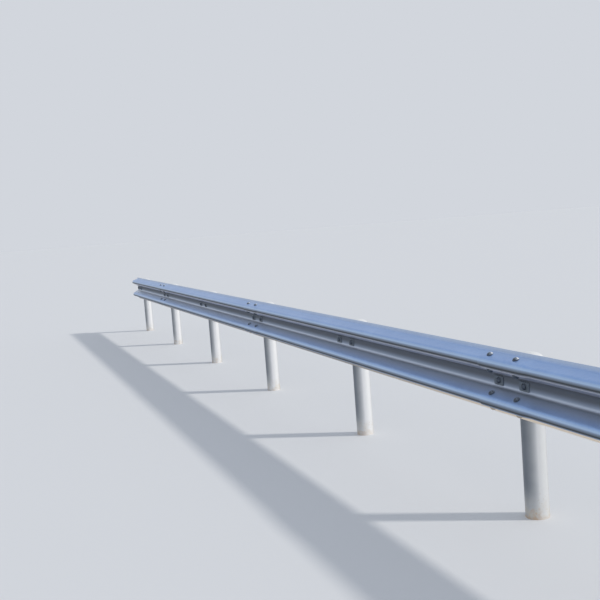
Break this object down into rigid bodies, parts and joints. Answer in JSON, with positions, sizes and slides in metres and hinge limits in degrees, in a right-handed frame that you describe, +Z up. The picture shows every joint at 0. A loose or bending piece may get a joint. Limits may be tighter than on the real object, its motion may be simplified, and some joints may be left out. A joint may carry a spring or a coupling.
{
  "type": "highway guardrail section",
  "caption": "Galvanised W-section roadside rail on round steel posts, lapped and bolted over every second post.",
  "frame": {"origin": "ground level, on the middle of the road-side wall of the middle post's pipe", "axes": "+X along the rail against the traffic, +Z up, the road on the -Y side"},
  "size_m": [12.32, 0.2621, 0.8056],
  "materials": {
    "rail_steel": "hot-dip galvanised, weathered dull grey",
    "post_steel": "hot-dip galvanised, soil stained at the foot",
    "cap_steel": "pressed sheet, galvanised",
    "bracket_steel": "hot-dip galvanised",
    "bolt_steel": "galvanised, dull"
  },
  "bodies": {
    "root": {"rail_beam_1": "rail_steel", "rail_beam_2": "rail_steel", "rail_beam_3": "rail_steel", "rail_beam_4": "rail_steel", "post_1": "post_steel", "post_2": "post_steel", "post_3": "post_steel", "post_4": "post_steel", "post_5": "post_steel", "post_6": "post_steel", "post_7": "post_steel", "post_cap_1": "cap_steel", "post_cap_2": "cap_steel", "post_cap_3": "cap_steel", "post_cap_4": "cap_steel", "post_cap_5": "cap_steel", "post_cap_6": "cap_steel", "post_cap_7": "cap_steel", "bracket_1": "bracket_steel", "bracket_2": "bracket_steel", "bracket_3": "bracket_steel", "bracket_4": "bracket_steel", "bracket_5": "bracket_steel", "bracket_6": "bracket_steel", "bracket_7": "bracket_steel", "post_bolt_1": "bolt_steel", "post_bolt_2": "bolt_steel", "post_bolt_3": "bolt_steel", "post_bolt_4": "bolt_steel", "post_bolt_5": "bolt_steel", "post_bolt_6": "bolt_steel", "post_bolt_7": "bolt_steel"}
  },
  "joints": []
}
